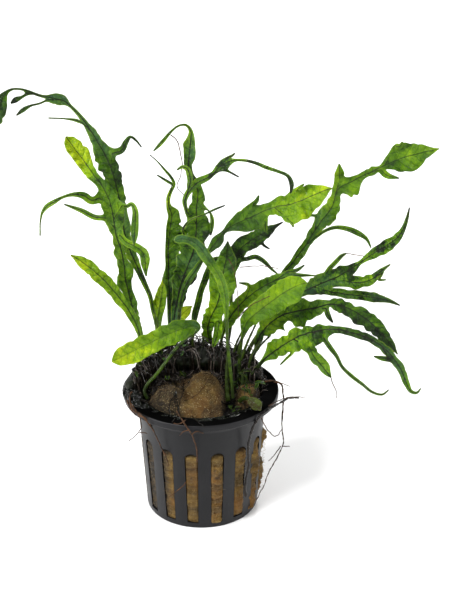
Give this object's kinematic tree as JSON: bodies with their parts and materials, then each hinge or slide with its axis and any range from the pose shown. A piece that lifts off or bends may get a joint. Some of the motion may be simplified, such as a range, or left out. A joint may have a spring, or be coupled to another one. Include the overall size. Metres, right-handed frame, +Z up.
{
  "type": "potted aquarium fern",
  "caption": "Java fern with long, branching, ruffled fronds on a creeping rhizome, rooted in a rockwool plug in a slotted black net pot.",
  "frame": {"origin": "middle of the net pot's underside, on the surface it stands on", "axes": "+Z up along the pot's axis, -Y towards the front, +X to the right seen from the front"},
  "size_m": [0.1472, 0.0583, 0.1565],
  "materials": {
    "black_plastic": "satin",
    "rockwool": "fibrous",
    "rhizome": "rough",
    "frond_bright": "wet gloss",
    "frond_mid": "wet gloss",
    "frond_dark": "wet gloss",
    "root": "matte"
  },
  "bodies": {
    "root": {"net_pot": "black_plastic", "rockwool_plug": "rockwool", "rhizome": "rhizome", "frond_tall_left": "frond_mid", "frond_left_pale": "frond_mid", "frond_left_low": "frond_bright", "frond_front_left": "frond_bright", "frond_inner_bright": "frond_bright", "frond_centre_dark": "frond_dark", "frond_centre_tall": "frond_mid", "frond_small_yellow": "frond_bright", "frond_upper_right": "frond_bright", "frond_narrow_glossy": "frond_dark", "frond_front_centre": "frond_mid", "frond_centre_pale": "frond_mid", "frond_mid_right": "frond_mid", "frond_dark_right": "frond_dark", "frond_tall_right": "frond_mid", "frond_wide_right": "frond_bright", "frond_far_right": "frond_mid", "frond_ruffled_right": "frond_mid", "frond_lower_right": "frond_mid", "leaf_over_rim": "frond_dark", "root_right_outer": "root", "root_right_front": "root", "root_left": "root", "root_centre": "root", "root_aerial": "root"}
  },
  "joints": []
}
